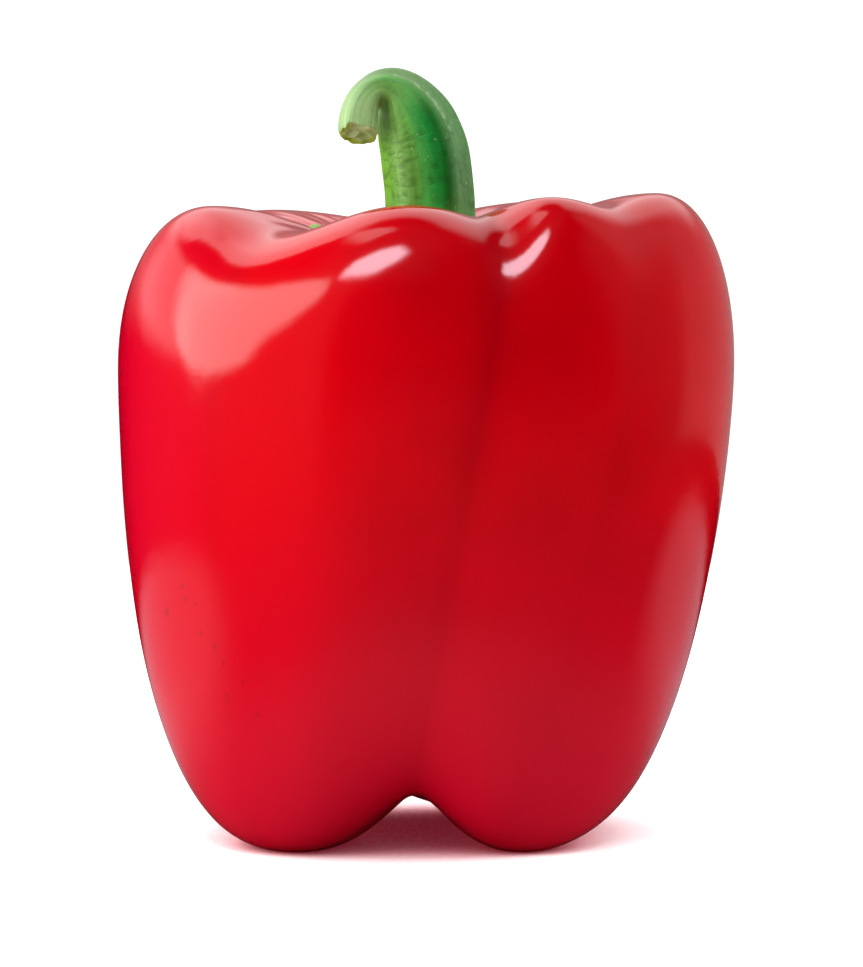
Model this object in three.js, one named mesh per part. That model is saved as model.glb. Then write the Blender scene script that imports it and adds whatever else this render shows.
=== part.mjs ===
// A red bell pepper: a blocky fruit with four lobes, standing on its feet, and its green stem and calyx.
// Millimetres, +Z up, the origin on the surface it stands on, below the middle of the fruit.
// Azimuths are in degrees, counterclockwise seen from above, with the front at 270.

import * as THREE from 'three';

// Heights above the surface
const BELLY_HEIGHT = 63;
const CAVITY_HEIGHT = 78;
const SCAR_HEIGHT = 9;
const SHOULDER_HEIGHT = 86;

// How full the shoulder and the flank are: 2 is an ellipse, more is boxier
const SHOULDER_FULLNESS = 2.25;
const FLANK_FULLNESS = 3;

// Share of the taper that is held back near the belly, so that the side leaves it upright
const TAPER_START = 0.15;

// The crest is the highest line round the stem's cavity. Grooves and dips alternate with lobes.
const CREST = [
  { azimuth: 287, radius: 24, height: 83.7, kind: 'groove' },
  { azimuth: 300, radius: 31.6, height: 86.6, kind: 'lobe' },
  { azimuth: 318, radius: 31.3, height: 85.2, kind: 'dip' },
  { azimuth: 338, radius: 32.5, height: 87.1, kind: 'lobe' },
  { azimuth: 16, radius: 26, height: 83.5, kind: 'groove' },
  { azimuth: 56, radius: 29, height: 86, kind: 'lobe' },
  { azimuth: 98, radius: 24, height: 82.5, kind: 'groove' },
  { azimuth: 138, radius: 29, height: 84.8, kind: 'lobe' },
  { azimuth: 172, radius: 26, height: 82.8, kind: 'groove' },
  { azimuth: 202, radius: 30.5, height: 85.4, kind: 'lobe' },
  { azimuth: 230, radius: 27.5, height: 81.6, kind: 'dip' },
  { azimuth: 265, radius: 27.5, height: 85.5, kind: 'lobe' },
];

// The belly is the widest line. The taper is how much narrower the fruit is at its feet.
const BELLY = [
  { azimuth: 287, radius: 39.5, taper: 4, kind: 'groove' },
  { azimuth: 301, radius: 40.6, taper: 5.2, kind: 'lobe' },
  { azimuth: 316, radius: 40.8, taper: 5.6, kind: 'dip' },
  { azimuth: 338, radius: 42.5, taper: 6.2, kind: 'lobe' },
  { azimuth: 16, radius: 41, taper: 6, kind: 'groove' },
  { azimuth: 56, radius: 41, taper: 4, kind: 'lobe' },
  { azimuth: 98, radius: 38.5, taper: 4, kind: 'groove' },
  { azimuth: 138, radius: 41, taper: 3, kind: 'lobe' },
  { azimuth: 172, radius: 41.8, taper: 2, kind: 'groove' },
  { azimuth: 206, radius: 42.3, taper: 1.6, kind: 'lobe' },
  { azimuth: 228, radius: 42, taper: 1.6, kind: 'dip' },
  { azimuth: 250, radius: 41.2, taper: 2, kind: 'lobe' },
];

// The feet are the lowest line round the blossom scar. A lobe's foot is pressed flat at height 0.
// The drift is how far a groove or lobe turns about the axis on its way down from the shoulder.
const FOOT_PRESS = -0.4;
const FEET = [
  { azimuth: 287, drift: -23, radius: 15, height: 7.5, kind: 'groove' },
  { azimuth: 334, drift: -27, radius: 20, height: FOOT_PRESS, kind: 'lobe' },
  { azimuth: 16, drift: -14, radius: 18, height: 6, kind: 'groove' },
  { azimuth: 56, drift: -6, radius: 20, height: FOOT_PRESS, kind: 'lobe' },
  { azimuth: 98, drift: 8, radius: 15, height: 3.5, kind: 'groove' },
  { azimuth: 138, drift: 0, radius: 21, height: FOOT_PRESS, kind: 'lobe' },
  { azimuth: 172, drift: 4, radius: 17, height: 5, kind: 'groove' },
  { azimuth: 226, drift: -4, radius: 23, height: FOOT_PRESS, kind: 'lobe' },
];

// How round each size is where it crosses a groove or a dip: 0 is a sharp V, 2 a gentle wave
const ROUNDNESS = {
  crestRadius: { groove: 0.2, dip: 0.9 },
  crestHeight: { groove: 0.15, dip: 0.9 },
  bellyRadius: { groove: 0.5, dip: 1.2 },
  taper: { groove: 2, dip: 2 },
  drift: { groove: 2 },
  footRadius: { groove: 0.35 },
  footHeight: { groove: 0.1 },
};

// Columns and rows of the fruit's surface, from the cavity down to the scar
const FRUIT_COLUMNS = 72;
const CAVITY_ROWS = 9;
const SHOULDER_ROWS = 12;
const FLANK_ROWS = 21;
const SCAR_ROWS = 8;

// The stalk's centre line: it rises, bends over to the left, and hooks down in front of itself
const STALK_PATH = new THREE.CubicBezierCurve3(
  new THREE.Vector3(0.3, 0, 80),
  new THREE.Vector3(1.7, 0, 104.3),
  new THREE.Vector3(-10.2, -2.8, 105.2),
  new THREE.Vector3(-9.1, -5.6, 94.8),
);
const STALK_FOOT = 0.05;
const STALK_RADIUS = 5.85;

// How much slimmer the hook is, in the plane of the bend and across it, and where that starts and ends
const HOOK_SLIMMING = { inPlane: 3.75, across: 3.3, from: 0.18, to: 0.74 };

// The cut end flares a little and is cut at a slant
const CUT_FLARE = { inPlane: 0.6, across: 0.6, from: 0.7 };
const CUT_SLANT = { inPlane: -0.15, across: 0.15, from: 0.7 };
const CUT_DISH = 0.5;

// Ribs run up the stalk and out to the points of the calyx
const RIBS = 6;
const RIB_AZIMUTH = 238;
const RIB_HEIGHT_AT_FOOT = 0.11;
const RIB_HEIGHT_AT_CUT = 0.06;
const RIB_MEAN = 0.45;

// The calyx is a thin collar that lies on the cavity's slope
const CALYX_REACH = 12.9;
const CALYX_POINT = 2.6;
const CALYX_LEAN = { amount: 0.8, azimuth: 190 };
const CALYX_THICKNESS = 1.7;
const CALYX_THINNING = 0.7;
const CALYX_VEIN = 0.55;
const CALYX_FILLET = 1.6;
const SEAT_GAP = 0.3;

// Columns and rows of the stem's surface, from the cut end down to the calyx's underside
const STEM_COLUMNS = 48;
const CUT_ROWS = 2;
const STALK_ROWS = 20;
const CALYX_ROWS = 7;
const EDGE_ROWS = 1;
const UNDERSIDE_ROWS = 6;

// 0 before a, 1 after b, smooth between
function ramp(a, b, x) {
  return THREE.MathUtils.smoothstep(x, a, b);
}

// A ring's size at an azimuth: it swings between its lobes, and turns quickly in each groove
function around(azimuth, ring, size, roundness) {
  const start = ring[0].azimuth;
  const turned = THREE.MathUtils.euclideanModulo(azimuth - start, 360);
  const angles = ring.map((stop) => THREE.MathUtils.euclideanModulo(stop.azimuth - start, 360));
  angles.push(360);
  let here = 0;
  while (angles[here + 1] <= turned) {
    here += 1;
  }
  const stop = ring[here];
  const next = ring[(here + 1) % ring.length];
  const share = (turned - angles[here]) / (angles[here + 1] - angles[here]);
  const fromLobe = stop.kind === 'lobe';
  const valley = fromLobe ? next : stop;
  const lobe = fromLobe ? stop : next;
  const swing = Math.sin((Math.PI / 2) * (fromLobe ? 1 - share : share));
  const round = roundness[valley.kind];
  const rise = (Math.hypot(swing, round) - round) / (Math.hypot(1, round) - round);
  return valley[size] + (lobe[size] - valley[size]) * rise;
}

// A point on a quarter of a superellipse, at an angle between its side and its top
function quarter(angle, fullness) {
  const side = Math.cos(angle);
  const up = Math.sin(angle);
  const reach = (side ** fullness + up ** fullness) ** (-1 / fullness);
  return { side: side * reach, up: up * reach };
}

// A half wave from 0 to 1
function wave(share) {
  return (1 - Math.cos(Math.PI * share)) / 2;
}

// Turns a radius and a height at an azimuth into a point, with the drift of the lobes
function atHeight(azimuth, radius, height) {
  const drift = around(azimuth, FEET, 'drift', ROUNDNESS.drift);
  const angle = THREE.MathUtils.degToRad(azimuth + drift * (1 - height / SHOULDER_HEIGHT));
  return new THREE.Vector3(radius * Math.cos(angle), radius * Math.sin(angle), Math.max(height, 0));
}

// The cavity round the stem: a bowl that rises to the crest
function onCavity(azimuth, radius) {
  const crestRadius = around(azimuth, CREST, 'radius', ROUNDNESS.crestRadius);
  const crestHeight = around(azimuth, CREST, 'height', ROUNDNESS.crestHeight);
  const height = CAVITY_HEIGHT + (crestHeight - CAVITY_HEIGHT) * wave(radius / crestRadius);
  return atHeight(azimuth, radius, height);
}

// The shoulder: from the crest out and down to the belly
function onShoulder(azimuth, share) {
  const crestRadius = around(azimuth, CREST, 'radius', ROUNDNESS.crestRadius);
  const crestHeight = around(azimuth, CREST, 'height', ROUNDNESS.crestHeight);
  const bellyRadius = around(azimuth, BELLY, 'radius', ROUNDNESS.bellyRadius);
  const place = quarter((Math.PI / 2) * (1 - share), SHOULDER_FULLNESS);
  const radius = crestRadius + (bellyRadius - crestRadius) * place.side;
  return atHeight(azimuth, radius, BELLY_HEIGHT + (crestHeight - BELLY_HEIGHT) * place.up);
}

// The flank: from the belly down and in to the foot
function onFlank(azimuth, share) {
  const bellyRadius = around(azimuth, BELLY, 'radius', ROUNDNESS.bellyRadius);
  const taper = around(azimuth, BELLY, 'taper', ROUNDNESS.taper);
  const footRadius = around(azimuth, FEET, 'radius', ROUNDNESS.footRadius);
  const footHeight = around(azimuth, FEET, 'height', ROUNDNESS.footHeight);
  const place = quarter((Math.PI / 2) * share, FLANK_FULLNESS);
  const narrowing = (taper * (1 + TAPER_START) * place.up ** 2) / (place.up + TAPER_START);
  const radius = footRadius + (bellyRadius - narrowing - footRadius) * place.side;
  return atHeight(azimuth, radius, BELLY_HEIGHT - (BELLY_HEIGHT - footHeight) * place.up);
}

// The hollow between the feet, up to the blossom scar
function onScar(azimuth, share) {
  const footRadius = around(azimuth, FEET, 'radius', ROUNDNESS.footRadius);
  const footHeight = around(azimuth, FEET, 'height', ROUNDNESS.footHeight);
  const height = SCAR_HEIGHT + (footHeight - SCAR_HEIGHT) * wave(1 - share);
  return atHeight(azimuth, footRadius * (1 - share), height);
}

function fruitPoint(azimuth, row) {
  if (row <= CAVITY_ROWS) {
    const crestRadius = around(azimuth, CREST, 'radius', ROUNDNESS.crestRadius);
    return onCavity(azimuth, (crestRadius * row) / CAVITY_ROWS);
  }
  const belowCrest = row - CAVITY_ROWS;
  if (belowCrest <= SHOULDER_ROWS) {
    return onShoulder(azimuth, belowCrest / SHOULDER_ROWS);
  }
  const belowBelly = belowCrest - SHOULDER_ROWS;
  if (belowBelly <= FLANK_ROWS) {
    return onFlank(azimuth, belowBelly / FLANK_ROWS);
  }
  return onScar(azimuth, (belowBelly - FLANK_ROWS) / SCAR_ROWS);
}

// 1 on a rib, 0 midway between two
function rib(azimuth, sharpness) {
  const turn = THREE.MathUtils.degToRad(RIBS * (azimuth - RIB_AZIMUTH));
  return ((1 + Math.cos(turn)) / 2) ** sharpness;
}

// The stalk's radii before its ribs, at a share of the centre line
function stalkRadii(along) {
  const slim = ramp(HOOK_SLIMMING.from, HOOK_SLIMMING.to, along);
  const flare = ramp(CUT_FLARE.from, 1, along);
  return {
    inPlane: STALK_RADIUS - HOOK_SLIMMING.inPlane * slim + CUT_FLARE.inPlane * flare,
    across: STALK_RADIUS - HOOK_SLIMMING.across * slim + CUT_FLARE.across * flare,
  };
}

function ribbed(azimuth, along) {
  const height = THREE.MathUtils.lerp(RIB_HEIGHT_AT_FOOT, RIB_HEIGHT_AT_CUT, along);
  return 1 + (rib(azimuth, 1.3) - RIB_MEAN) * height;
}

// A point of the stalk, at a share of the centre line and of the radius
function onStalk(azimuth, along, inward) {
  const middle = STALK_PATH.getPoint(along);
  const tangent = STALK_PATH.getTangent(along);
  const across = new THREE.Vector3(0, 1, 0).addScaledVector(tangent, -tangent.y).normalize();
  const inPlane = new THREE.Vector3().crossVectors(across, tangent);
  const radii = stalkRadii(along);
  const size = ribbed(azimuth, along) * inward;
  const angle = THREE.MathUtils.degToRad(azimuth);
  const x = radii.inPlane * size * Math.cos(angle);
  const y = radii.across * size * Math.sin(angle);
  const slant = ramp(CUT_SLANT.from, 1, along) * (CUT_SLANT.inPlane * x + CUT_SLANT.across * y);
  const dish = CUT_DISH * (1 - inward ** 2);
  return middle.addScaledVector(inPlane, x).addScaledVector(across, y).addScaledVector(tangent, slant - dish);
}

function calyxReach(azimuth) {
  const lean = THREE.MathUtils.degToRad(azimuth - CALYX_LEAN.azimuth);
  return CALYX_REACH + CALYX_POINT * rib(azimuth, 1.6) + CALYX_LEAN.amount * Math.cos(lean);
}

// The upper face of the collar, which sweeps up into the stalk
function onCalyx(azimuth, share) {
  const foot = STALK_PATH.getPoint(STALK_FOOT);
  const footRadius = stalkRadii(STALK_FOOT).inPlane * ribbed(azimuth, STALK_FOOT);
  const radius = THREE.MathUtils.lerp(footRadius, calyxReach(azimuth), share);
  const point = onCavity(azimuth, radius);
  const thickness = CALYX_THICKNESS - CALYX_THINNING * share;
  const climb = foot.z - onCavity(azimuth, footRadius).z - CALYX_THICKNESS - SEAT_GAP;
  const sweep = climb * Math.exp((footRadius - radius) / CALYX_FILLET);
  const vein = CALYX_VEIN * (rib(azimuth, 1.3) - RIB_MEAN) * Math.sin(Math.PI * share);
  point.x += foot.x * (1 - share);
  point.z += SEAT_GAP + thickness + sweep + vein;
  return point;
}

// The underside, which follows the cavity at the gap
function onUnderside(azimuth, share) {
  const point = onCavity(azimuth, calyxReach(azimuth) * (1 - share));
  point.z += SEAT_GAP;
  return point;
}

function stemPoint(azimuth, row) {
  if (row <= CUT_ROWS) {
    return onStalk(azimuth, 1, row / CUT_ROWS);
  }
  const belowCut = row - CUT_ROWS;
  if (belowCut <= STALK_ROWS) {
    return onStalk(azimuth, THREE.MathUtils.lerp(1, STALK_FOOT, belowCut / STALK_ROWS), 1);
  }
  const belowStalk = belowCut - STALK_ROWS;
  if (belowStalk <= CALYX_ROWS) {
    return onCalyx(azimuth, belowStalk / CALYX_ROWS);
  }
  return onUnderside(azimuth, (belowStalk - CALYX_ROWS - EDGE_ROWS) / UNDERSIDE_ROWS);
}

// A closed ball whose rows and columns are moved onto a surface
function shapedBall(columns, rows, place) {
  const geometry = new THREE.SphereGeometry(1, columns, rows);
  const position = geometry.attributes.position;
  for (let index = 0; index < position.count; index += 1) {
    const column = index % (columns + 1);
    const row = Math.floor(index / (columns + 1));
    const point = place((360 * (column % columns)) / columns, row);
    position.setXYZ(index, point.x, point.y, point.z);
  }
  geometry.computeVertexNormals();
  return geometry;
}

function makeFruit() {
  const rows = CAVITY_ROWS + SHOULDER_ROWS + FLANK_ROWS + SCAR_ROWS;
  const skin = new THREE.MeshStandardMaterial({ color: 0xc8101a, roughness: 0.22, metalness: 0 });
  const fruit = new THREE.Mesh(shapedBall(FRUIT_COLUMNS, rows, fruitPoint), skin);
  fruit.name = 'fruit';
  return fruit;
}

function makeStem() {
  const rows = CUT_ROWS + STALK_ROWS + CALYX_ROWS + EDGE_ROWS + UNDERSIDE_ROWS;
  const green = new THREE.MeshStandardMaterial({ color: 0x4f9a3c, roughness: 0.5, metalness: 0 });
  const stem = new THREE.Mesh(shapedBall(STEM_COLUMNS, rows, stemPoint), green);
  stem.name = 'stem_with_calyx';
  return stem;
}

const pepper = new THREE.Group();
pepper.name = 'bell_pepper';
pepper.add(makeFruit(), makeStem());

export default pepper;
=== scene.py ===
import math

import bmesh
import bpy
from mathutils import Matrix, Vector, noise


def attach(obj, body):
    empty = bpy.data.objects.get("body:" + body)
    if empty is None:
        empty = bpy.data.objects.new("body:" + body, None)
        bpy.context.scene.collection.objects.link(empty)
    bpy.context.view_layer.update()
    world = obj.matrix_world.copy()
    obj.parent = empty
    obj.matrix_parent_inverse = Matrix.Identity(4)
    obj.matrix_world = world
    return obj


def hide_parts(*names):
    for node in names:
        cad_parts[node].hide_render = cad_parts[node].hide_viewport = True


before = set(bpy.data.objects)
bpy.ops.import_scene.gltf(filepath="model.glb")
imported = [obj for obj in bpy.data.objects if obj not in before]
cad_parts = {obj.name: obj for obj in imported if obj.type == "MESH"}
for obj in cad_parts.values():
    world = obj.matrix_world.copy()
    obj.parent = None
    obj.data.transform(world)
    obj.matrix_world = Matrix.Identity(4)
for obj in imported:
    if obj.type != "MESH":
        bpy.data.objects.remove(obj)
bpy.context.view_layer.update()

# The camera stands 600 mm in front of the pepper, a little above its shoulder, and looks slightly down.
# Its lens is long, so the lobes keep nearly their true proportions.
CAMERA_DISTANCE = 0.600
CAMERA_HEIGHT = 0.086
CAMERA_TO_THE_RIGHT = 0.0006
CAMERA_LOOKS_DOWN = math.radians(3.66)
CAMERA_LENS = 164.63

camera_data = bpy.data.cameras.new("camera")
camera_data.sensor_width = 36.0
camera_data.lens = CAMERA_LENS
camera_data.clip_start = 0.01
camera_data.clip_end = 20.0
camera = bpy.data.objects.new("camera", camera_data)
camera.location = (CAMERA_TO_THE_RIGHT, -CAMERA_DISTANCE, CAMERA_HEIGHT)
camera.rotation_euler = (math.pi / 2 - CAMERA_LOOKS_DOWN, 0, 0)
bpy.context.scene.collection.objects.link(camera)
bpy.context.scene.camera = camera


# The fruit: one berry with four lobes, grown full and taut. Its skin is waxed and smooth, and
# its feet are pressed flat where it stands. Grooves run down between the lobes from the stem's cavity
# to the blossom scar. It is a ball whose rows and columns are moved onto that form, in millimetres.
MM = 0.001
SURFACE_LEVELS = 1

BELLY_HEIGHT = 63
CAVITY_HEIGHT = 78
SCAR_HEIGHT = 9
SHOULDER_HEIGHT = 86
SHOULDER_FULLNESS = 2.25
FLANK_FULLNESS = 3
TAPER_START = 0.15
FOOT_PRESS = -0.4

# azimuth, radius, height, kind: the highest line round the cavity
CREST = [
    (287, 24, 83.7, "groove"),
    (300, 31.6, 86.6, "lobe"),
    (318, 31.3, 85.2, "dip"),
    (338, 32.5, 87.1, "lobe"),
    (16, 26, 83.5, "groove"),
    (56, 29, 86, "lobe"),
    (98, 24, 82.5, "groove"),
    (138, 29, 84.8, "lobe"),
    (172, 26, 82.8, "groove"),
    (202, 30.5, 85.4, "lobe"),
    (230, 27.5, 81.6, "dip"),
    (265, 27.5, 85.5, "lobe"),
]

# azimuth, radius, taper, kind: the widest line, and how much narrower the fruit is at its feet
BELLY = [
    (287, 39.5, 4, "groove"),
    (301, 40.6, 5.2, "lobe"),
    (316, 40.8, 5.6, "dip"),
    (338, 42.5, 6.2, "lobe"),
    (16, 41, 6, "groove"),
    (56, 41, 4, "lobe"),
    (98, 38.5, 4, "groove"),
    (138, 41, 3, "lobe"),
    (172, 41.8, 2, "groove"),
    (206, 42.3, 1.6, "lobe"),
    (228, 42, 1.6, "dip"),
    (250, 41.2, 2, "lobe"),
]

# azimuth, radius, height, kind, drift: the lowest line, and how far it has turned from the shoulder
FEET = [
    (287, 15, 7.5, "groove", -23),
    (334, 20, FOOT_PRESS, "lobe", -27),
    (16, 18, 6, "groove", -14),
    (56, 20, FOOT_PRESS, "lobe", -6),
    (98, 15, 3.5, "groove", 8),
    (138, 21, FOOT_PRESS, "lobe", 0),
    (172, 17, 5, "groove", 4),
    (226, 23, FOOT_PRESS, "lobe", -4),
]

AZIMUTH, RADIUS, HEIGHT, KIND, DRIFT = range(5)
TAPER = 2

# How gently each ring turns where it meets a groove: 0 would be a sharp crease
CREST_RADIUS_TURN = 0.2
CREST_HEIGHT_TURN = 0.15
BELLY_RADIUS_TURN = 0.5
FOOT_RADIUS_TURN = 0.35
FOOT_HEIGHT_TURN = 0.1
WIDE_TURN = 2
DIP_TURN = 0.9
BELLY_DIP_TURN = 1.2

# The parts of the way from the cavity's middle to the scar, where the crest, the belly and the feet lie
AT_CREST = 0.18
AT_BELLY = 0.42
AT_FEET = 0.84


def around(azimuth, ring, size, groove, dip=DIP_TURN):
    """A ring's size at an azimuth. It turns quickly in a groove and more gently in a dip."""
    start = ring[0][AZIMUTH]
    turned = (azimuth - start) % 360
    angles = [(stop[AZIMUTH] - start) % 360 for stop in ring] + [360]
    here = max(i for i in range(len(ring)) if angles[i] <= turned)
    stop, after = ring[here], ring[(here + 1) % len(ring)]
    share = (turned - angles[here]) / (angles[here + 1] - angles[here])
    valley, lobe = (after, stop) if stop[KIND] == "lobe" else (stop, after)
    swing = math.sin(math.pi / 2 * (1 - share if stop[KIND] == "lobe" else share))
    soft = groove if valley[KIND] == "groove" else dip
    rise = (math.hypot(swing, soft) - soft) / (math.hypot(1, soft) - soft)
    return valley[size] + (lobe[size] - valley[size]) * rise


def quarter(angle, fullness):
    """A point on a quarter of a superellipse, between its side and its top."""
    side, up = max(math.cos(angle), 0), max(math.sin(angle), 0)
    reach = (side ** fullness + up ** fullness) ** (-1 / fullness)
    return side * reach, up * reach


def wave(share):
    return (1 - math.cos(math.pi * share)) / 2


def crest_radius(azimuth):
    return around(azimuth, CREST, RADIUS, CREST_RADIUS_TURN)


def crest_height(azimuth):
    return around(azimuth, CREST, HEIGHT, CREST_HEIGHT_TURN)


def belly_radius(azimuth):
    return around(azimuth, BELLY, RADIUS, BELLY_RADIUS_TURN, BELLY_DIP_TURN)


def foot_radius(azimuth):
    return around(azimuth, FEET, RADIUS, FOOT_RADIUS_TURN)


def foot_height(azimuth):
    return around(azimuth, FEET, HEIGHT, FOOT_HEIGHT_TURN)


def at_height(azimuth, radius, height):
    drift = around(azimuth, FEET, DRIFT, WIDE_TURN)
    angle = math.radians(azimuth + drift * (1 - height / SHOULDER_HEIGHT))
    return Vector((radius * math.cos(angle), radius * math.sin(angle), max(height, 0)))


def on_cavity(azimuth, radius):
    rise = wave(radius / crest_radius(azimuth))
    return at_height(azimuth, radius, CAVITY_HEIGHT + (crest_height(azimuth) - CAVITY_HEIGHT) * rise)


def on_shoulder(azimuth, share):
    side, up = quarter(math.pi / 2 * (1 - share), SHOULDER_FULLNESS)
    radius = crest_radius(azimuth) + (belly_radius(azimuth) - crest_radius(azimuth)) * side
    return at_height(azimuth, radius, BELLY_HEIGHT + (crest_height(azimuth) - BELLY_HEIGHT) * up)


def on_flank(azimuth, share):
    taper = around(azimuth, BELLY, TAPER, WIDE_TURN, WIDE_TURN)
    side, down = quarter(math.pi / 2 * share, FLANK_FULLNESS)
    narrowing = taper * (1 + TAPER_START) * down ** 2 / (down + TAPER_START)
    radius = foot_radius(azimuth) + (belly_radius(azimuth) - narrowing - foot_radius(azimuth)) * side
    return at_height(azimuth, radius, BELLY_HEIGHT - (BELLY_HEIGHT - foot_height(azimuth)) * down)


def on_scar(azimuth, share):
    height = SCAR_HEIGHT + (foot_height(azimuth) - SCAR_HEIGHT) * wave(1 - share)
    return at_height(azimuth, foot_radius(azimuth) * (1 - share), height)


def on_fruit(azimuth, latitude):
    """A point of the skin. The latitude runs from 0 in the cavity's middle to 1 at the scar."""
    if latitude <= AT_CREST:
        return on_cavity(azimuth, crest_radius(azimuth) * latitude / AT_CREST)
    if latitude <= AT_BELLY:
        return on_shoulder(azimuth, (latitude - AT_CREST) / (AT_BELLY - AT_CREST))
    if latitude <= AT_FEET:
        return on_flank(azimuth, (latitude - AT_BELLY) / (AT_FEET - AT_BELLY))
    return on_scar(azimuth, (latitude - AT_FEET) / (1 - AT_FEET))


def moved_ball(columns, rows, place, notes):
    """A bmesh ball with each vertex moved to place(azimuth, latitude). Notes are values kept with it."""
    ball = bmesh.new()
    bmesh.ops.create_uvsphere(ball, u_segments=columns, v_segments=rows, radius=1)
    layers = {}
    for name, note in notes.items():
        is_place = isinstance(note(0, 0.5), Vector)
        kind = ball.verts.layers.float_vector if is_place else ball.verts.layers.float
        layers[name] = kind.new(name)
    ball.verts.ensure_lookup_table()
    for vertex in ball.verts:
        azimuth = math.degrees(math.atan2(vertex.co.y, vertex.co.x)) % 360
        latitude = math.acos(max(-1, min(1, vertex.co.z))) / math.pi
        for name, note in notes.items():
            vertex[layers[name]] = note(azimuth, latitude)
        vertex.co = place(azimuth, latitude)
    return ball


def add_piece(name, shape):
    """Makes an object of a bmesh in millimetres, smooth, with a subdivision surface."""
    bmesh.ops.scale(shape, vec=(MM, MM, MM), verts=shape.verts)
    mesh = bpy.data.meshes.new(name)
    shape.to_mesh(mesh)
    shape.free()
    mesh.shade_smooth()
    piece = bpy.data.objects.new(name, mesh)
    bpy.context.scene.collection.objects.link(piece)
    surface = piece.modifiers.new("surface", "SUBSURF")
    surface.levels = SURFACE_LEVELS
    surface.render_levels = SURFACE_LEVELS
    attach(piece, "root")
    return piece


def smooth(shape, times):
    for _ in range(times):
        bmesh.ops.smooth_vert(
            shape, verts=shape.verts, factor=0.5, use_axis_x=True, use_axis_y=True, use_axis_z=True
        )


FRUIT_COLUMNS = 144
FRUIT_ROWS = 100
FRUIT_SMOOTHINGS = 3

# The skin isn't perfectly even: it sinks by up to this much in soft waves about this long
WAVE_DEPTH = 0.16
WAVE_LENGTH = 13


def waved(azimuth, latitude):
    point = on_fruit(azimuth, latitude)
    sink = WAVE_DEPTH * (0.5 + 0.5 * noise.noise(point / WAVE_LENGTH))
    return point - Vector((point.x, point.y, 0)).normalized() * sink


# How dark the painted shade in the grooves is at most, how far it reaches to each side, in millimetres, the
# share of its narrow part, and how much paler it is half way down. The dips in a lobe get little of it.
GROOVE_SHADE = 0.6
WIDE_SHADE = 3.5
NARROW_SHADE = 1.1
NARROW_SHARE = 0.45
DIP_SHARE = 0.3
PALE_LATITUDE = 0.6
PALE_REACH = 0.14
PALE_SHARE = 0.6


def painted_groove_shade(azimuth, latitude):
    """How much painted shade a point of the skin gets for lying in or beside a groove."""
    point = on_fruit(azimuth, latitude)
    radius = math.hypot(point.x, point.y)
    middle = math.exp(-((latitude - PALE_LATITUDE) / PALE_REACH) ** 2)
    depth = 0
    for line in CREST:
        if line[KIND] != "lobe":
            off = math.radians((azimuth - line[AZIMUTH] + 180) % 360 - 180) * radius
            wide, narrow = math.exp(-(off / WIDE_SHADE) ** 2), math.exp(-(off / NARROW_SHADE) ** 2)
            near = (1 - NARROW_SHARE) * wide + NARROW_SHARE * narrow
            depth = max(depth, near if line[KIND] == "groove" else DIP_SHARE * near)
    return GROOVE_SHADE * depth * (1 - PALE_SHARE * middle)


# The cavity's creases fade out over this part of the way, up to a little past the crest
CREASES_END = 0.19
CREASES_FADE = 0.07
# They change this much more slowly down the cavity than round it
CREASE_STRETCH = 2.5


def in_cavity(azimuth, latitude):
    """1 beside the calyx, 0 on the crest."""
    return max(0, min(1, (CREASES_END - latitude) / CREASES_FADE))


def down_cavity(azimuth, latitude):
    """A place that changes quickly round the cavity and slowly down it, as its creases do."""
    turn = math.radians(azimuth)
    return Vector((math.cos(turn), math.sin(turn), CREASE_STRETCH * latitude))


notes = {"groove": painted_groove_shade, "in_cavity": in_cavity, "down_cavity": down_cavity}
fruit_shape = moved_ball(FRUIT_COLUMNS, FRUIT_ROWS, waved, notes)
smooth(fruit_shape, FRUIT_SMOOTHINGS)
fruit = add_piece("fruit_skin", fruit_shape)
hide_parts("fruit")


def srgb(code):
    """A colour written as sRGB hex, turned linear, with full alpha."""
    parts = [int(code[i:i + 2], 16) / 255 for i in (0, 2, 4)]
    linear = [p / 12.92 if p <= 0.04045 else ((p + 0.055) / 1.055) ** 2.4 for p in parts]
    return (*linear, 1.0)


def add_node(tree, kind, settings=None, links=None):
    """Adds a node. Settings are its properties or inputs, and a ramp's stops are its places and colours.
    Links feed its inputs, or are plain values."""
    node = tree.nodes.new(kind)
    for key, value in (settings or {}).items():
        if key == "stops":
            for k, (position, code) in enumerate(value):
                stops = node.color_ramp.elements
                stop = stops[k] if k < 2 else stops.new(position)
                stop.position = position
                stop.color = srgb(code)
        elif isinstance(key, str) and hasattr(node, key):
            setattr(node, key, value)
        else:
            node.inputs[key].default_value = value
    for key, source in (links or {}).items():
        if isinstance(source, bpy.types.NodeSocket):
            tree.links.new(source, node.inputs[key])
        else:
            node.inputs[key].default_value = source
    return node


def new_material(name):
    material = bpy.data.materials.new(name)
    material.use_nodes = True
    material.node_tree.nodes.clear()
    return material, material.node_tree


# Waxed pepper skin: a deep saturated red under a clear wax that mirrors the room sharply. It has painted
# shade along the grooves, and it is uneven in soft blotches 14 mm wide.
skin, tree = new_material("waxed_pepper_skin")
place = add_node(tree, "ShaderNodeTexCoord")
blotches = add_node(
    tree, "ShaderNodeTexNoise", {"Scale": 70.0, "Detail": 4.0}, {"Vector": place.outputs["Object"]},
)
red = add_node(
    tree, "ShaderNodeValToRGB", {"stops": ((0.3, "a20009"), (0.7, "b0000b"))},
    {"Fac": blotches.outputs["Fac"]},
)
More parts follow.
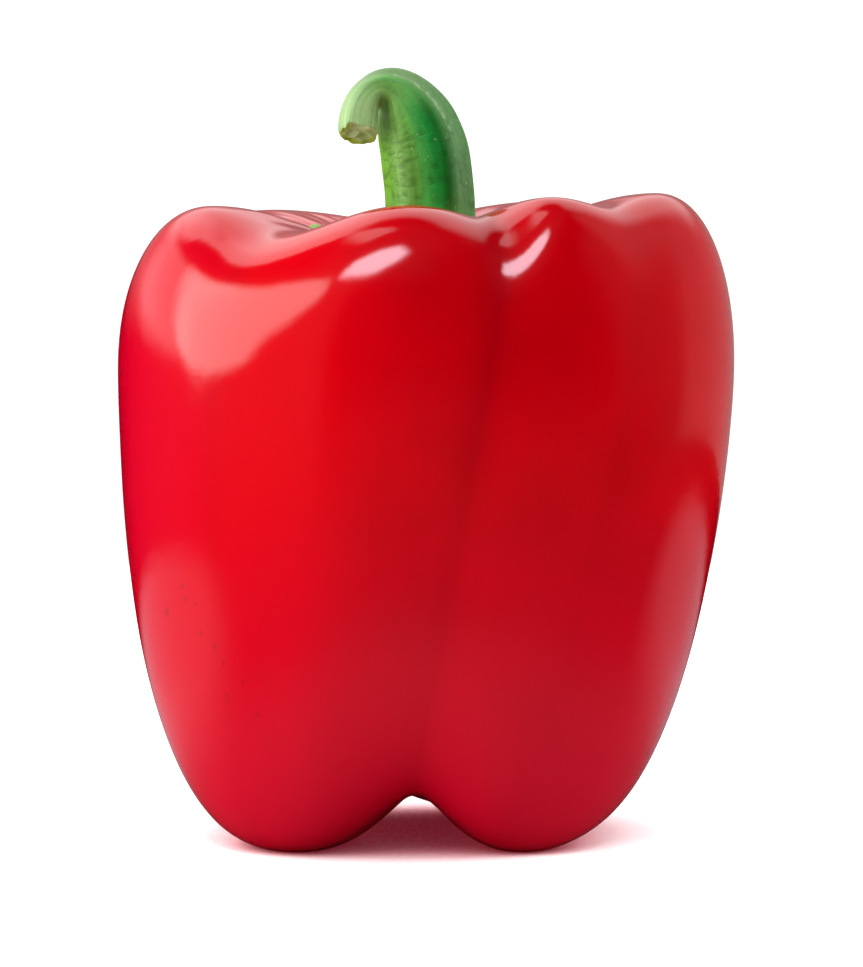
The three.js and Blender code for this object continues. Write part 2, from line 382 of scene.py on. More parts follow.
# Painted light: it is brighter on the front of the left lobe, which faces the window. It is also a little
# more crimson low down and far round to the left
where = add_node(tree, "ShaderNodeSeparateXYZ", {}, {"Vector": place.outputs["Object"]})
lit_side_share = add_node(
    tree, "ShaderNodeMapRange", {"interpolation_type": "SMOOTHSTEP", "From Min": 0.0, "From Max": -0.016},
    {"Value": where.outputs["X"]},
)
with_painted_light = add_node(
    tree, "ShaderNodeMix", {"data_type": "RGBA"},
    {"Factor": lit_side_share.outputs["Result"], 6: red.outputs["Color"], 7: srgb("b8000b")},
)
low = add_node(
    tree, "ShaderNodeMapRange", {"From Min": 0.05, "From Max": 0.005}, {"Value": where.outputs["Z"]},
)
aside = add_node(
    tree, "ShaderNodeMapRange", {"From Min": -0.022, "From Max": -0.042}, {"Value": where.outputs["X"]},
)
crimson_share = add_node(
    tree, "ShaderNodeMath", {"operation": "MAXIMUM"},
    {0: low.outputs["Result"], 1: aside.outputs["Result"]},
)
crimson = add_node(
    tree, "ShaderNodeMix", {"data_type": "RGBA"},
    {"Factor": crimson_share.outputs["Value"], 6: with_painted_light.outputs[2], 7: srgb("a8001c")},
)
# Painted shade along the grooves, and a little in the dips
groove = add_node(tree, "ShaderNodeAttribute", {"attribute_name": "groove"})
with_groove_shade = add_node(
    tree, "ShaderNodeMix", {"data_type": "RGBA"},
    {"Factor": groove.outputs["Fac"], 6: crimson.outputs[2], 7: srgb("780008")},
)
# Small dark dents and scratches, most of them low on the left. Each is a point in metres and a radius,
# and its edge is soft: it starts a little outside the radius and is full at a quarter of it.
MARKS = [
    (-0.03416, -0.0220, 0.03209, 0.0007),
    (-0.03187, -0.02559, 0.0358, 0.0004),
    (-0.03144, -0.02588, 0.03422, 0.0004),
    (-0.03002, -0.02738, 0.03359, 0.00035),
    (-0.02943, -0.02744, 0.02986, 0.0004),
    (-0.02759, -0.02901, 0.0283, 0.00045),
    (-0.02636, -0.02966, 0.02609, 0.0004),
    (-0.0259, -0.02909, 0.0219, 0.00035),
    (-0.0259, -0.02909, 0.0211, 0.0004),
    (-0.02381, -0.03096, 0.02385, 0.00035),
    (-0.02196, -0.03103, 0.01961, 0.0004),
    (-0.04089, -0.01041, 0.0630, 0.0008),
]
MARK_STARTS = 1.3
MARK_IS_FULL = 0.25
marked = 0.0
for x, y, z, radius in MARKS:
    off = add_node(
        tree, "ShaderNodeVectorMath", {"operation": "DISTANCE"},
        {0: place.outputs["Object"], 1: (x, y, z)},
    )
    inside = add_node(
        tree, "ShaderNodeMapRange", {"From Min": radius * MARK_STARTS, "From Max": radius * MARK_IS_FULL},
        {"Value": off.outputs["Value"]},
    )
    both = add_node(
        tree, "ShaderNodeMath", {"operation": "MAXIMUM"}, {0: marked, 1: inside.outputs["Result"]},
    )
    marked = both.outputs["Value"]
bruised = add_node(
    tree, "ShaderNodeMix", {"data_type": "RGBA"},
    {"Factor": marked, 6: with_groove_shade.outputs[2], 7: srgb("960614")},
)
# Faint unevenness about 3 mm wide, which makes the edges of the mirrored window waver
grain = add_node(
    tree, "ShaderNodeTexNoise", {"Scale": 330.0, "Detail": 2.0}, {"Vector": place.outputs["Object"]},
)
uneven = add_node(
    tree, "ShaderNodeBump", {"Strength": 0.08, "Distance": 0.0003}, {"Height": grain.outputs["Fac"]},
)
# Shallow creases, a few millimetres apart, run down into the cavity to the calyx and fade out on the crest
cavity = add_node(tree, "ShaderNodeAttribute", {"attribute_name": "in_cavity"})
down = add_node(tree, "ShaderNodeAttribute", {"attribute_name": "down_cavity"})
creases = add_node(
    tree, "ShaderNodeTexNoise", {"Scale": 6.0, "Detail": 1.0}, {"Vector": down.outputs["Vector"]},
)
depth = add_node(
    tree, "ShaderNodeMath", {"operation": "MULTIPLY"}, {0: cavity.outputs["Fac"], 1: 0.5},
)
creased_skin = add_node(
    tree, "ShaderNodeBump", {"Distance": 0.0016},
    {
        "Strength": depth.outputs["Value"],
        "Height": creases.outputs["Fac"],
        "Normal": uneven.outputs["Normal"],
    },
)
surface = add_node(
    tree, "ShaderNodeBsdfPrincipled",
    {"Roughness": 0.1, "IOR": 1.5},
    {"Base Color": bruised.outputs[2], "Normal": creased_skin.outputs["Normal"]},
)
add_node(tree, "ShaderNodeOutputMaterial", {}, {"Surface": surface.outputs["BSDF"]})
fruit.data.materials.append(skin)


# The stem: the stalk and the calyx at its foot grew as one green piece. Six ribs run up the stalk
# from the points of the calyx. It bends over and ends in a slanted cut, and the calyx lies in the
# cavity. It is one ball again, moved onto the cut, the stalk, the calyx and its underside.
STALK_PATH = [Vector(p) for p in ((0.3, 0, 80), (1.7, 0, 104.3), (-10.2, -2.8, 105.2), (-9.1, -5.6, 94.8))]
STALK_FOOT = 0.05
STALK_RADIUS = 5.85
SEAT_GAP = 0.3

# The stalk grows slimmer between these parts of its length, by this much in the plane of its bend and
# across it, and widens again towards the cut, which is slanted
SLIM_FROM = 0.18
SLIM_TO = 0.74
SLIM_IN_PLANE = 3.75
SLIM_ACROSS = 3.3
FLARE_FROM = 0.7
FLARE = 0.6
CUT_SLANT_IN_PLANE = -0.15
CUT_SLANT_ACROSS = 0.15
CUT_DISH = 0.5

RIBS = 6
RIB_AZIMUTH = 238
RIB_SHARPNESS = 1.3
RIB_MEAN = 0.45
RIB_DEPTH_AT_FOOT = 0.11
RIB_DEPTH_AT_CUT = 0.06

CALYX_REACH = 12.9
CALYX_POINTS = 2.6
CALYX_POINT_SHARPNESS = 1.6
CALYX_LEANS = 0.8
CALYX_LEAN_AZIMUTH = 190
CALYX_THICKNESS = 1.7
CALYX_THINNING = 0.7
CALYX_SWEEP = 1.6
VEIN_RISE = 0.55

# How lumpy the stalk is, as a share of its radius, and how often it swells round it and along it
LUMPS = 0.035
LUMPS_ROUND = 1.2
LUMPS_ALONG = 10

# How uneven the cut is, where on the stalk that starts, and how fine the unevenness is
RAGGED = 0.7
RAGGED_FROM = 0.85
RAGGED_FINENESS = 0.9
RAGGED_PLACE = 4

# The parts of the way from the cut's middle to under the calyx, where each stretch ends
AT_CUT = 0.08
AT_FOOT = 0.68
AT_EDGE = 0.86
AT_UNDERSIDE = 0.88


def ramp(a, b, x):
    t = max(0, min(1, (x - a) / (b - a)))
    return t * t * (3 - 2 * t)


def rib(azimuth, sharpness):
    return ((1 + math.cos(math.radians(RIBS * (azimuth - RIB_AZIMUTH)))) / 2) ** sharpness


def stalk_radii(along):
    slim = ramp(SLIM_FROM, SLIM_TO, along)
    wider = STALK_RADIUS + FLARE * ramp(FLARE_FROM, 1, along)
    return wider - SLIM_IN_PLANE * slim, wider - SLIM_ACROSS * slim


def ribbed(azimuth, along):
    depth = RIB_DEPTH_AT_FOOT + (RIB_DEPTH_AT_CUT - RIB_DEPTH_AT_FOOT) * along
    return 1 + (rib(azimuth, RIB_SHARPNESS) - RIB_MEAN) * depth


def stalk_middle(t):
    a, b, c, d = STALK_PATH
    middle = a * (1 - t) ** 3 + b * 3 * t * (1 - t) ** 2 + c * 3 * t * t * (1 - t) + d * t ** 3
    tangent = (b - a) * 3 * (1 - t) ** 2 + (c - b) * 6 * t * (1 - t) + (d - c) * 3 * t * t
    return middle, tangent.normalized()


def on_stalk(azimuth, along, inward):
    middle, tangent = stalk_middle(along)
    across = (Vector((0, 1, 0)) - tangent * tangent.y).normalized()
    in_plane = across.cross(tangent)
    radius_in_plane, radius_across = stalk_radii(along)
    turn = math.radians(azimuth)
    swell = Vector((LUMPS_ROUND * math.cos(turn), LUMPS_ROUND * math.sin(turn), LUMPS_ALONG * along))
    lumps = 0.5 + 0.5 * noise.noise(swell)
    size = ribbed(azimuth, along) * inward * (1 - LUMPS * lumps)
    x = radius_in_plane * size * math.cos(turn)
    y = radius_across * size * math.sin(turn)
    slant = ramp(FLARE_FROM, 1, along) * (CUT_SLANT_IN_PLANE * x + CUT_SLANT_ACROSS * y)
    dish = CUT_DISH * (1 - inward ** 2)
    uneven = noise.noise(Vector((x, y, RAGGED_PLACE)) * RAGGED_FINENESS)
    ragged = RAGGED * ramp(RAGGED_FROM, 1, along) * uneven
    return middle + in_plane * x + across * y + tangent * (slant - dish + ragged)


def calyx_reach(azimuth):
    lean = CALYX_LEANS * math.cos(math.radians(azimuth - CALYX_LEAN_AZIMUTH))
    return CALYX_REACH + CALYX_POINTS * rib(azimuth, CALYX_POINT_SHARPNESS) + lean


def on_calyx(azimuth, share):
    foot, _ = stalk_middle(STALK_FOOT)
    stalk_radius = stalk_radii(STALK_FOOT)[0] * ribbed(azimuth, STALK_FOOT)
    radius = stalk_radius + (calyx_reach(azimuth) - stalk_radius) * share
    point = on_cavity(azimuth, radius)
    climb = foot.z - on_cavity(azimuth, stalk_radius).z - CALYX_THICKNESS - SEAT_GAP
    sweep = climb * math.exp((stalk_radius - radius) / CALYX_SWEEP)
    vein = VEIN_RISE * (rib(azimuth, RIB_SHARPNESS) - RIB_MEAN) * math.sin(math.pi * share)
    point.x += foot.x * (1 - share)
    point.z += SEAT_GAP + CALYX_THICKNESS - CALYX_THINNING * share + sweep + vein
    return point


def on_underside(azimuth, share):
    return on_cavity(azimuth, calyx_reach(azimuth) * (1 - share)) + Vector((0, 0, SEAT_GAP))


def on_stem(azimuth, latitude):
    """A point of the stem. The latitude runs from 0 in the cut's middle to 1 under the calyx."""
    if latitude <= AT_CUT:
        return on_stalk(azimuth, 1, latitude / AT_CUT)
    if latitude <= AT_FOOT:
        return on_stalk(azimuth, 1 - (1 - STALK_FOOT) * (latitude - AT_CUT) / (AT_FOOT - AT_CUT), 1)
    if latitude <= AT_EDGE:
        return on_calyx(azimuth, (latitude - AT_FOOT) / (AT_EDGE - AT_FOOT))
    return on_underside(azimuth, max(0, (latitude - AT_UNDERSIDE) / (1 - AT_UNDERSIDE)))


STEM_COLUMNS = 120
STEM_ROWS = 150
STEM_SMOOTHINGS = 1

# Length of the stalk, from the foot to the cut
STALK_LENGTH = 33


def straight(azimuth, latitude):
    """Where a point would lie if the stalk were straight, in metres: its grain follows this."""
    turn = math.radians(azimuth)
    height = STALK_LENGTH * (1 - latitude / AT_FOOT)
    return Vector((STALK_RADIUS * math.cos(turn), STALK_RADIUS * math.sin(turn), height)) * MM


def turned(azimuth, latitude):
    """The way round the stalk from its back, which is 0, to its front at 0.5."""
    return ((azimuth - 90) % 360) / 360


def on_cut(azimuth, latitude):
    """1 in the middle of the cut face, 0 at its rim."""
    return max(0, 1 - latitude / AT_CUT)


# The calyx's green takes over from the stalk's over this part of the way
COLLAR_FROM = 0.64
COLLAR_TO = 0.74


def on_collar(azimuth, latitude):
    """0 on the stalk, 1 on the calyx."""
    return ramp(COLLAR_FROM, COLLAR_TO, latitude)


# How pale the calyx's veins are, how thin, and where they start to fade towards its edge
VEIN_PALENESS = 0.6
VEIN_SHARPNESS = 12
VEIN_FADES = 0.80


def on_vein(azimuth, latitude):
    """How pale a point of the calyx is: most along the middle of each of its points."""
    return VEIN_PALENESS * rib(azimuth, VEIN_SHARPNESS) * ramp(AT_EDGE, VEIN_FADES, latitude)


notes = {
    "straight": straight, "turned": turned, "on_cut": on_cut, "on_collar": on_collar, "on_vein": on_vein,
}
stem_shape = moved_ball(STEM_COLUMNS, STEM_ROWS, on_stem, notes)
smooth(stem_shape, STEM_SMOOTHINGS)
stem = add_piece("stem_and_calyx", stem_shape)
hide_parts("stem_with_calyx")

# Fresh stalk skin: a waxy green that changes round the stalk. Low down the side that faces the window
# is yellow-green, its rib has a painted highlight, and the hollow beside the next rib has painted shade.
# The bend is paler and more even, and painted lighter on its left in the hook's shadow. Fine wrinkles cross
# the foot with painted shade in their troughs, faint streaks and pale flecks lie along it, and a painted
# highlight runs along one rib. The calyx is mottled with pale veins, and the cut end has dried inside a
# yellow-green rim that has a painted highlight on one side.
green, tree = new_material("fresh_stalk_skin")
turn = add_node(tree, "ShaderNodeAttribute", {"attribute_name": "turned"})
# Low down: the pale rib at 0.38 to 0.41 is a painted highlight, and the dark hollow at 0.53 to 0.57 is
# painted shade
low_green_with_painted_light = add_node(tree, "ShaderNodeValToRGB", {"stops": (
    (0.00, "3f8a34"), (0.27, "5e9418"), (0.33, "5c9624"), (0.38, "6a9c46"), (0.41, "6e9e48"),
    (0.46, "5c9c3c"), (0.49, "42a044"), (0.53, "0c822c"), (0.57, "08661e"), (0.60, "34702e"),
    (0.65, "527f48"), (0.72, "47783c"), (1.00, "3f8a34"),
)}, {"Fac": turn.outputs["Fac"]})
# Higher up: the left side at 0.20 to 0.30, in the hook's shadow, is painted lighter
high_green_with_painted_light = add_node(tree, "ShaderNodeValToRGB", {"stops": (
    (0.00, "5c8a44"), (0.20, "80b056"), (0.30, "80b056"), (0.36, "6c9e4a"), (0.45, "6a9c4a"),
    (0.52, "629c48"), (0.58, "569444"), (0.65, "60884c"), (0.75, "668452"), (1.00, "5c8a44"),
)}, {"Fac": turn.outputs["Fac"]})
grown = add_node(tree, "ShaderNodeAttribute", {"attribute_name": "straight"})
length = add_node(tree, "ShaderNodeSeparateXYZ", {}, {"Vector": grown.outputs["Vector"]})
bent = add_node(
    tree, "ShaderNodeMapRange", {"interpolation_type": "SMOOTHSTEP", "From Min": 0.008, "From Max": 0.017},
    {"Value": length.outputs["Z"]},
)
bands = add_node(
    tree, "ShaderNodeMix", {"data_type": "RGBA"},
    {"Factor": bent.outputs["Result"], 6: low_green_with_painted_light.outputs["Color"], 7: high_green_with_painted_light.outputs["Color"]},
)
ended = add_node(
    tree, "ShaderNodeMapRange", {"From Min": 0.018, "From Max": 0.025, "To Max": 0.8},
    {"Value": length.outputs["Z"]},
)
greyed = add_node(
    tree, "ShaderNodeMix", {"data_type": "RGBA"},
    {"Factor": ended.outputs["Result"], 6: bands.outputs[2], 7: srgb("88a46c")},
)
streaked = add_node(tree, "ShaderNodeMapping", {"Scale": (1, 1, 0.15)}, {"Vector": grown.outputs["Vector"]})
streaks = add_node(
    tree, "ShaderNodeTexNoise", {"Scale": 900.0, "Detail": 3.0}, {"Vector": streaked.outputs["Vector"]},
)
light_dark = add_node(
    tree, "ShaderNodeMapRange", {"From Min": 0.3, "From Max": 0.7, "To Min": 0.8, "To Max": 1.16},
    {"Value": streaks.outputs["Fac"]},
)
shaded = add_node(
    tree, "ShaderNodeVectorMath", {"operation": "SCALE"},
    {"Vector": greyed.outputs[2], "Scale": light_dark.outputs["Result"]},
)
fleck = add_node(
    tree, "ShaderNodeTexNoise", {"Scale": 2800.0, "Detail": 0.0}, {"Vector": grown.outputs["Vector"]},
)
flecked = add_node(
    tree, "ShaderNodeMapRange", {"From Min": 0.76, "From Max": 0.86, "To Max": 0.3},
    {"Value": fleck.outputs["Fac"]},
)
with_flecks = add_node(
    tree, "ShaderNodeMix", {"data_type": "RGBA"},
    {"Factor": flecked.outputs["Result"], 6: shaded.outputs["Vector"], 7: srgb("c4dca4")},
)
crossed = add_node(tree, "ShaderNodeMapping", {"Scale": (1, 1, 2.5)}, {"Vector": grown.outputs["Vector"]})
wrinkles = add_node(
    tree, "ShaderNodeTexNoise", {"Scale": 600.0, "Detail": 3.0}, {"Vector": crossed.outputs["Vector"]},
)
wrinkled = add_node(
    tree, "ShaderNodeMapRange",
    {
        "interpolation_type": "SMOOTHSTEP",
        "From Min": 0.013, "From Max": 0.004, "To Min": 0.1, "To Max": 0.5,
    },
    {"Value": length.outputs["Z"]},
)
# Painted shade in the wrinkles' troughs, where the bump sinks, strongest at the foot
wrinkle_troughs = add_node(
    tree, "ShaderNodeMapRange", {"From Min": 0.52, "From Max": 0.3}, {"Value": wrinkles.outputs["Fac"]},
)
painted_trough_shade = add_node(
    tree, "ShaderNodeMath", {"operation": "MULTIPLY"},
    {0: wrinkle_troughs.outputs["Result"], 1: wrinkled.outputs["Result"]},
)
with_trough_shade = add_node(
    tree, "ShaderNodeMix", {"data_type": "RGBA"},
    {"Factor": painted_trough_shade.outputs["Value"], 6: with_flecks.outputs[2], 7: srgb("0c4a14")},
)
# A painted highlight lies along one rib over 10 mm of the bend. The line is 1 mm wide, and the wrinkles
# break it
on_rib = add_node(
    tree, "ShaderNodeMath", {"operation": "COMPARE"}, {0: turn.outputs["Fac"], 1: 0.634, 2: 0.014},
)
part_way = add_node(
    tree, "ShaderNodeMath", {"operation": "COMPARE"}, {0: length.outputs["Z"], 1: 0.0115, 2: 0.005},
)
highlight_place = add_node(
    tree, "ShaderNodeMath", {"operation": "MULTIPLY"},
    {0: on_rib.outputs["Value"], 1: part_way.outputs["Value"]},
)
highlight_broken = add_node(
    tree, "ShaderNodeMapRange", {"From Min": 0.35, "From Max": 0.7, "To Max": 0.25},
    {"Value": wrinkles.outputs["Fac"]},
)
painted_highlight = add_node(
    tree, "ShaderNodeMath", {"operation": "MULTIPLY"},
    {0: highlight_place.outputs["Value"], 1: highlight_broken.outputs["Result"]},
)
with_highlight = add_node(
    tree, "ShaderNodeMix", {"data_type": "RGBA"},
    {"Factor": painted_highlight.outputs["Value"], 6: with_trough_shade.outputs[2], 7: srgb("c4dcb4")},
)
collar = add_node(tree, "ShaderNodeAttribute", {"attribute_name": "on_collar"})
mottled = add_node(
    tree, "ShaderNodeMix", {"data_type": "RGBA"},
    {"Factor": wrinkles.outputs["Fac"], 6: srgb("2f6a1e"), 7: srgb("7fb04a")},
)
vein = add_node(tree, "ShaderNodeAttribute", {"attribute_name": "on_vein"})
veined = add_node(
    tree, "ShaderNodeMix", {"data_type": "RGBA"},
    {"Factor": vein.outputs["Fac"], 6: mottled.outputs[2], 7: srgb("9cc070")},
)
with_collar = add_node(
    tree, "ShaderNodeMix", {"data_type": "RGBA"},
    {"Factor": collar.outputs["Fac"], 6: with_highlight.outputs[2], 7: veined.outputs[2]},
)
cut = add_node(tree, "ShaderNodeAttribute", {"attribute_name": "on_cut"})
rim = add_node(
    tree, "ShaderNodeMapRange", {"From Min": 0.0, "From Max": 0.1}, {"Value": cut.outputs["Fac"]},
)
# The rim is yellow-green, and pale where a painted highlight lies on it, at 0.28 to 0.48 round the stalk
rim_green_and_highlight = add_node(tree, "ShaderNodeValToRGB", {"stops": (
    (0.15, "8ea238"), (0.28, "b8c4a0"), (0.48, "b8c4a0"), (0.6, "8ea238"), (0.9, "96aa2c"),
)}, {"Fac": turn.outputs["Fac"]})
with_rim = add_node(
    tree, "ShaderNodeMix", {"data_type": "RGBA"},
    {"Factor": rim.outputs["Result"], 6: with_collar.outputs[2], 7: rim_green_and_highlight.outputs["Color"]},
)
fibres = add_node(
    tree, "ShaderNodeTexNoise", {"Scale": 700.0, "Detail": 3.0}, {"Vector": grown.outputs["Vector"]},
)
dried = add_node(
    tree, "ShaderNodeMix", {"data_type": "RGBA"},
    {"Factor": fibres.outputs["Fac"], 6: srgb("94c080"), 7: srgb("b4c49c")},
)
middle = add_node(
    tree, "ShaderNodeMapRange", {"From Min": 0.14, "From Max": 0.34}, {"Value": cut.outputs["Fac"]},
)
with_cut = add_node(
    tree, "ShaderNodeMix", {"data_type": "RGBA"},
    {"Factor": middle.outputs["Result"], 6: with_rim.outputs[2], 7: dried.outputs[2]},
)
raised = add_node(
    tree, "ShaderNodeBump", {"Distance": 0.0004},
    {"Strength": wrinkled.outputs["Result"], "Height": wrinkles.outputs["Fac"]},
)
surface = add_node(
    tree, "ShaderNodeBsdfPrincipled",
    {
        "Roughness": 0.42, "IOR": 1.4, "Subsurface Weight": 0.2, "Subsurface Radius": (0.6, 1.0, 0.3),
        "Subsurface Scale": 0.0015,
    },
    {"Base Color": with_cut.outputs[2], "Normal": raised.outputs["Normal"]},
)
add_node(tree, "ShaderNodeOutputMaterial", {}, {"Surface": surface.outputs["BSDF"]})
stem.data.materials.append(green)


# The table and the light: a small white table in a room with one bright window at the left, one
# lamp above the camera, pale walls behind and no light in front. The skin mirrors the room, whose
# patches of light are soft shapes on the sky. Broad lamps add the light that the skin spreads.
TABLE_RADIUS = 0.45
TABLE_SEGMENTS = 96

floor_shape = bmesh.new()
bmesh.ops.create_circle(floor_shape, cap_ends=True, segments=TABLE_SEGMENTS, radius=TABLE_RADIUS)
floor_mesh = bpy.data.meshes.new("table_top")
floor_shape.to_mesh(floor_mesh)
floor_shape.free()
floor = bpy.data.objects.new("table_top", floor_mesh)
bpy.context.scene.collection.objects.link(floor)
white, tree = new_material("white_table")
spot = add_node(tree, "ShaderNodeTexCoord")
seen = add_node(tree, "ShaderNodeLightPath")
# How open the table is above a spot: 0 where the pepper stands, 1 away from it
near = add_node(tree, "ShaderNodeAmbientOcclusion", {"Distance": 0.03, "samples": 4})
# Painted shadow: the table's colour turns dark red close round the pepper, for its shadow and the red light
# it throws
painted_shadow_colour = add_node(
    tree, "ShaderNodeValToRGB", {"stops": ((0.1, "c02038"), (0.34, "ececec"))},
    {"Fac": near.outputs["AO"]},
)
# Painted shadow in what the camera sees: the table's glow turns dark red close round the pepper and white
# away from it
painted_shadow_glow = add_node(
    tree, "ShaderNodeValToRGB",
    {"stops": ((0.0, "6c0a1e"), (0.24, "a04858"), (0.34, "f0dce0"), (0.46, "ffffff"))},
    {"Fac": near.outputs["AO"]},
)
# What the skin mirrors of the table: it is dim, with painted light a little round the pepper and two
# painted pools where the window's light and the wall's fall. Each pool is its place, its radius and its
# strength.
POOLS = (((-0.16, 0.06, 0), 0.15, 0.5), ((0.15, 0.09, 0), 0.14, 0.42))
reach = add_node(tree, "ShaderNodeVectorMath", {"operation": "LENGTH"}, {"Vector": spot.outputs["Object"]})
mirrored = add_node(
    tree, "ShaderNodeMapRange",
    {
        "interpolation_type": "SMOOTHSTEP",
        "From Min": 0.125, "From Max": 0.05, "To Min": 0.0, "To Max": 0.15,
    },
    {"Value": reach.outputs["Value"]},
).outputs["Result"]
for pool, radius, strength in POOLS:
    off = add_node(
        tree, "ShaderNodeVectorMath", {"operation": "DISTANCE"}, {0: spot.outputs["Object"], 1: pool},
    )
    lit = add_node(
        tree, "ShaderNodeMapRange",
        {
            "interpolation_type": "SMOOTHSTEP",
            "From Min": radius, "From Max": radius / 2, "To Min": 0.0, "To Max": strength,
        },
        {"Value": off.outputs["Value"]},
    )
    mirrored = add_node(
        tree, "ShaderNodeMath", {"operation": "ADD"}, {0: mirrored, 1: lit.outputs["Result"]},
    ).outputs["Value"]
# Painted shade: what the skin mirrors of the table is darker close under the pepper
open_sky = add_node(
    tree, "ShaderNodeMapRange", {"From Min": 0.2, "From Max": 0.9}, {"Value": near.outputs["AO"]},
)
mirrored = add_node(
    tree, "ShaderNodeMath", {"operation": "MULTIPLY"}, {0: mirrored, 1: open_sky.outputs["Result"]},
).outputs["Value"]
# It shines for the camera so that it looks white, and less for the light that the pepper gathers
shine = add_node(
    tree, "ShaderNodeMapRange", {"To Min": 0.75, "To Max": 0.22},
    {"Value": seen.outputs["Is Diffuse Ray"]},
)
surface = add_node(
    tree, "ShaderNodeBsdfPrincipled", {"Roughness": 0.9},
    {
        "Base Color": painted_shadow_colour.outputs["Color"],
        "Emission Color": painted_shadow_glow.outputs["Color"],
        "Emission Strength": shine.outputs["Result"],
    },
)
dim = add_node(tree, "ShaderNodeEmission", {"Color": (0.85, 0.88, 1, 1)}, {"Strength": mirrored})
mixed = add_node(
    tree, "ShaderNodeMixShader", {},
    {0: seen.outputs["Is Glossy Ray"], 1: surface.outputs["BSDF"], 2: dim.outputs["Emission"]},
)
add_node(tree, "ShaderNodeOutputMaterial", {}, {"Surface": mixed.outputs["Shader"]})
floor.data.materials.append(white)

world = bpy.data.worlds.new("white_room")
world.use_nodes = True
room = world.node_tree
room.nodes.clear()
place = add_node(room, "ShaderNodeTexCoord")
direction = add_node(room, "ShaderNodeSeparateXYZ", {}, {"Vector": place.outputs["Generated"]})
toward = add_node(room, "ShaderNodeMath", {"operation": "MULTIPLY"}, {0: direction.outputs["Y"], 1: -1.0})
sideways = add_node(
    room, "ShaderNodeMath", {"operation": "ARCTAN2"},
    {0: direction.outputs["X"], 1: toward.outputs["Value"]},
)
upward = add_node(room, "ShaderNodeMath", {"operation": "ARCSINE"}, {0: direction.outputs["Z"]})
# Where a ray goes: how far to the right of the camera's side, how high, and 1
aim = add_node(
    room, "ShaderNodeCombineXYZ", {"Z": 1.0},
    {"X": sideways.outputs["Value"], "Y": upward.outputs["Value"]},
)


def add_patch(light, radiance, colour, corners):
    """Adds a patch of light to the room. Its corners go round it counterclockwise, in degrees: how far
    to the right of the camera's side, how high, and how soft the edge is that starts there."""
    mask = radiance
    for (right, up, soft), (next_right, next_up, _) in zip(corners, corners[1:] + corners[:1]):
        length = math.hypot(next_right - right, next_up - up)
        across = Vector(((up - next_up) / length, (next_right - right) / length))
        offset = across.x * right + across.y * up
        inward = add_node(
            room, "ShaderNodeVectorMath", {"operation": "DOT_PRODUCT"},
            {0: aim.outputs["Vector"], 1: (math.degrees(across.x), math.degrees(across.y), -offset)},
        )
        edge = add_node(
            room, "ShaderNodeMapRange",
            {"interpolation_type": "SMOOTHSTEP", "From Min": -soft / 2, "From Max": soft / 2},
            {"Value": inward.outputs["Value"]},
        )
        both = add_node(
            room, "ShaderNodeMath", {"operation": "MULTIPLY"}, {0: mask, 1: edge.outputs["Result"]},
        )
        mask = both.outputs["Value"]
    added = add_node(
        room, "ShaderNodeVectorMath", {"operation": "MULTIPLY_ADD"}, {0: mask, 1: colour, 2: light},
    )
    return added.outputs["Vector"]


WHITE = (1.0, 1.0, 1.0)
WARM = (1.0, 1.0, 0.95)
COOL = (0.96, 0.96, 1.1)

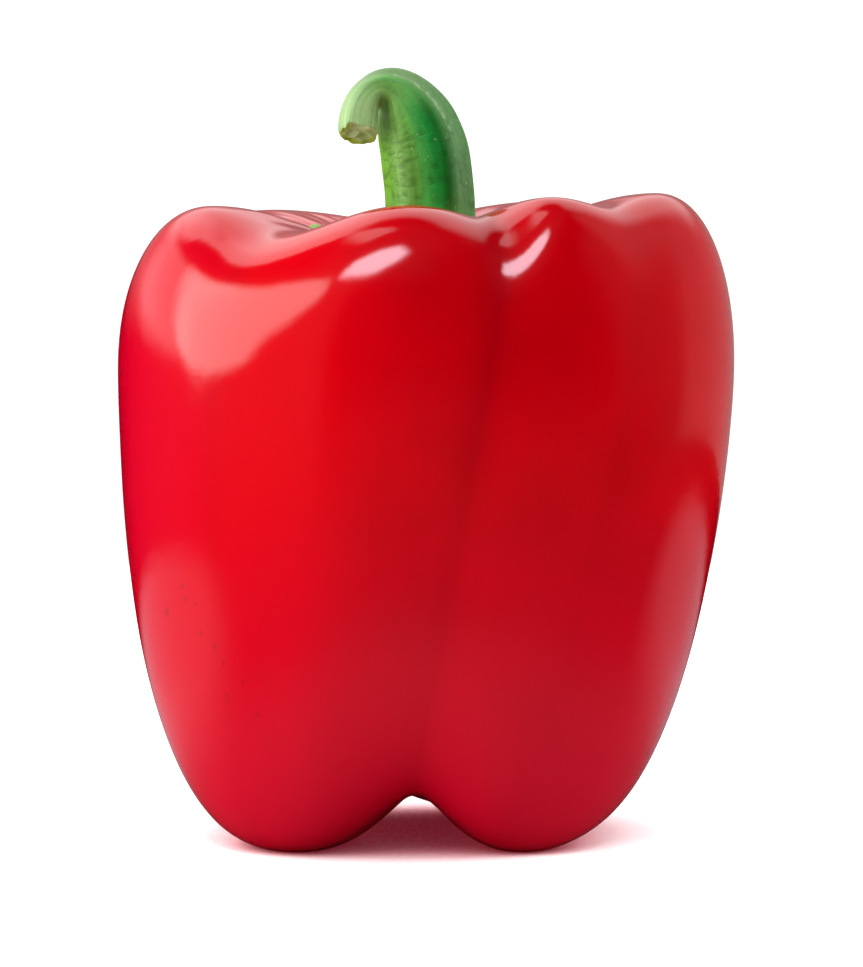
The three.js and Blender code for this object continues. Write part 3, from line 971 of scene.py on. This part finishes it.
# Each patch of light is its radiance, its colour and its corners
PATCHES = (
    # The window at the left
    (3.9, WARM, [
        (-101, 41, 9), (-103, 8, 5), (-96, -1, 4), (-80, -1.5, 4), (-62, 2, 6), (-46, 34, 5), (-50, 41, 5),
    ]),
    # The paler wall beside it
    (1.3, WHITE, [(-140, 34, 26), (-138, 6, 8), (-98, 2, 9), (-96, 38, 8)]),
    # The lamp above the camera
    (12, COOL, [
        (-42, 42, 6), (-18, 42, 6), (-4, 50, 7), (10, 58, 10), (-2, 66, 6), (-26, 62, 6), (-42, 52, 6),
    ]),
    # The ceiling
    (2.0, WHITE, [(-118, 84, 18), (-118, 64, 8), (-60, 68, 18), (-60, 84, 8)]),
    # The wall behind at the left, a brighter stretch of it, and the same wall at the right
    (1.2, WHITE, [(-200, 66, 8), (-200, 22, 14), (-150, 22, 12), (-120, 42, 8), (-117, 66, 12)]),
    (0.7, WHITE, [(-160, 64, 30), (-160, 34, 14), (-126, 40, 8), (-118, 50, 8), (-120, 64, 10)]),
    (1.2, WHITE, [(118, 66, 26), (140, 22, 14), (200, 22, 8), (200, 66, 12)]),
    # What that wall adds over all its height, at the left and at the right
    (0.28, WHITE, [(-200, 57, 8), (-200, 5, 10), (-140, 5, 20), (-140, 57, 16)]),
    (0.28, WHITE, [(94, 57, 18), (94, -12, 16), (200, -12, 12), (200, 57, 16)]),
)
light = (0, 0, 0)
for radiance, colour, corners in PATCHES:
    light = add_patch(light, radiance, colour, corners)

seen = add_node(room, "ShaderNodeLightPath")
mirrored = add_node(room, "ShaderNodeBackground", {}, {"Color": light})
bright = add_node(room, "ShaderNodeBackground", {"Color": (1, 1, 1, 1), "Strength": 1.2})
shown = add_node(
    room, "ShaderNodeMixShader", {},
    {0: seen.outputs["Is Camera Ray"], 1: mirrored.outputs["Background"], 2: bright.outputs["Background"]},
)
add_node(room, "ShaderNodeOutputWorld", {}, {"Surface": shown.outputs["Shader"]})
bpy.context.scene.world = world
# The skin mirrors the room, and the lamps give the light that it spreads
world.cycles_visibility.diffuse = False


# The lamps face this point, a little above the middle of the fruit
LAMPS_FACE = Vector((0, 0, 0.06))


def add_softbox(name, azimuth, elevation, distance, width, height, radiance):
    """A broad lamp that faces the pepper, and that the skin doesn't mirror."""
    turn, lift = math.radians(azimuth), math.radians(elevation)
    away = Vector((math.sin(turn) * math.cos(lift), -math.cos(turn) * math.cos(lift), math.sin(lift)))
    data = bpy.data.lights.new(name, "AREA")
    data.shape = "RECTANGLE"
    data.size = width
    data.size_y = height
    data.energy = radiance * math.pi * width * height
    lamp = bpy.data.objects.new(name, data)
    lamp.location = LAMPS_FACE + away * distance
    lamp.rotation_euler = away.to_track_quat("Z", "Y").to_euler()
    lamp.visible_camera = False
    lamp.visible_glossy = False
    bpy.context.scene.collection.objects.link(lamp)


add_softbox("fill_left", -60, 16, 1.2, 1.2, 1.4, 4.0)
add_softbox("fill_left_back", -118, 18, 1.2, 1.2, 1.4, 3.9)
add_softbox("fill_right", 108, 14, 1.2, 1.6, 1.4, 4.2)
add_softbox("fill_front", 10, 35, 1.6, 1.8, 1.4, 0.05)
add_softbox("fill_top", -20, 72, 1.2, 1.4, 1.4, 2.2)
bpy.context.scene.view_settings.view_transform = "Standard"
